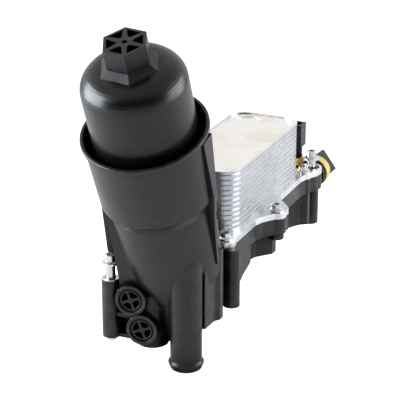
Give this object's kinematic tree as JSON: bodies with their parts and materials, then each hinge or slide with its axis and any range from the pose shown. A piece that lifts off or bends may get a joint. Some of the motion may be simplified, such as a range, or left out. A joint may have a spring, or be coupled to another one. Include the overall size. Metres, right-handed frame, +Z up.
{
  "type": "oil filter housing",
  "caption": "Oil filter housing: a leaning cartridge canister with a hex screw cap, moulded in one piece with a valley base that carries a stacked plate oil cooler.",
  "frame": {"origin": "on the flat underside of the base, on its middle rib between the two middle ports", "axes": "+Z up out of the base, +Y along the base from the canister to the sensor end, +X to the side of the hose nipple"},
  "size_m": [0.0804, 0.2853, 0.2178],
  "materials": {
    "moulded_plastic": "satin glass-filled nylon",
    "cap_plastic": "satin glass-filled nylon, finer grain",
    "plate_alloy": "brazed plates, satin",
    "flange_alloy": "stamped sheet, bright satin",
    "screw_steel": "zinc coated, light satin",
    "sleeve_steel": "turned, plain",
    "zinc_yellow": "yellow passivated zinc",
    "seal_rubber": "smooth",
    "filter_paper": "pleated paper, matt"
  },
  "bodies": {
    "housing": {"housing_body": "moulded_plastic", "standpipe": "cap_plastic", "plug_upper": "cap_plastic", "plug_lower": "cap_plastic", "cooler_core": "plate_alloy", "cooler_top_plate": "plate_alloy", "cooler_flange": "flange_alloy", "cooler_port_seals": "seal_rubber", "base_gaskets": "seal_rubber", "cooler_screw_near": "screw_steel", "cooler_screw_right": "screw_steel", "cooler_screw_far": "screw_steel", "cooler_screw_left": "screw_steel", "cooler_screw_rear": "screw_steel", "pressure_sensor_body": "zinc_yellow", "pressure_sensor_connector": "cap_plastic", "pressure_sensor_seal": "seal_rubber", "temperature_sensor_body": "zinc_yellow", "temperature_sensor_connector": "cap_plastic", "bypass_seat": "cap_plastic", "bypass_spring": "sleeve_steel", "check_seat": "cap_plastic", "check_spring": "sleeve_steel", "sleeve_front": "sleeve_steel", "sleeve_left_near": "sleeve_steel", "sleeve_left_far": "sleeve_steel", "sleeve_rear": "sleeve_steel"},
    "cap": {"cap": "cap_plastic", "cap_seal": "seal_rubber"},
    "filter_element": {"filter_pleats": "filter_paper", "filter_top_disc": "cap_plastic", "filter_bottom_disc": "cap_plastic", "filter_core": "cap_plastic", "standpipe_seal": "seal_rubber"},
    "bypass_valve": {"bypass_poppet": "sleeve_steel"},
    "check_valve": {"check_disc": "sleeve_steel"},
    "front_bolt": {"bolt_front": "screw_steel"},
    "left_near_bolt": {"bolt_left_near": "screw_steel"},
    "left_far_bolt": {"bolt_left_far": "screw_steel"},
    "rear_bolt": {"bolt_rear": "screw_steel"}
  },
  "joints": [
    {"name": "cap_lift", "type": "slide", "parent": "housing", "child": "filter_element", "axis": [0, -0.3746, 0.9272], "range_m": [0, 0.015]},
    {"name": "cap_turn", "type": "hinge", "parent": "filter_element", "child": "cap", "pos_m": [0, -0.10704, 0.13129], "axis": [0, -0.3746, 0.9272], "range_deg": [0, 1080]},
    {"name": "bypass_lift", "type": "slide", "parent": "housing", "child": "bypass_valve", "axis": [0, 0, 1], "range_m": [0, 0.003], "stiffness_N_per_m": 3000, "springref_m": -0.0034, "deforming": ["bypass_spring"]},
    {"name": "check_lift", "type": "slide", "parent": "housing", "child": "check_valve", "axis": [0, 0, 1], "range_m": [0, 0.003], "stiffness_N_per_m": 200, "springref_m": -0.002, "deforming": ["check_spring"]},
    {"name": "front_bolt_slide", "type": "slide", "parent": "housing", "child": "front_bolt", "axis": [0, 0, 1], "range_m": [-0.009, 0.003]},
    {"name": "left_near_bolt_slide", "type": "slide", "parent": "housing", "child": "left_near_bolt", "axis": [0, 0, 1], "range_m": [-0.009, 0.003]},
    {"name": "left_far_bolt_slide", "type": "slide", "parent": "housing", "child": "left_far_bolt", "axis": [0, 0, 1], "range_m": [-0.009, 0.003]},
    {"name": "rear_bolt_slide", "type": "slide", "parent": "housing", "child": "rear_bolt", "axis": [0, 0, 1], "range_m": [-0.009, 0.003]}
  ],
  "couplings": [
    {"joint": "cap_lift", "follows": "cap_turn", "m_per_rad": 0.00079577}
  ]
}
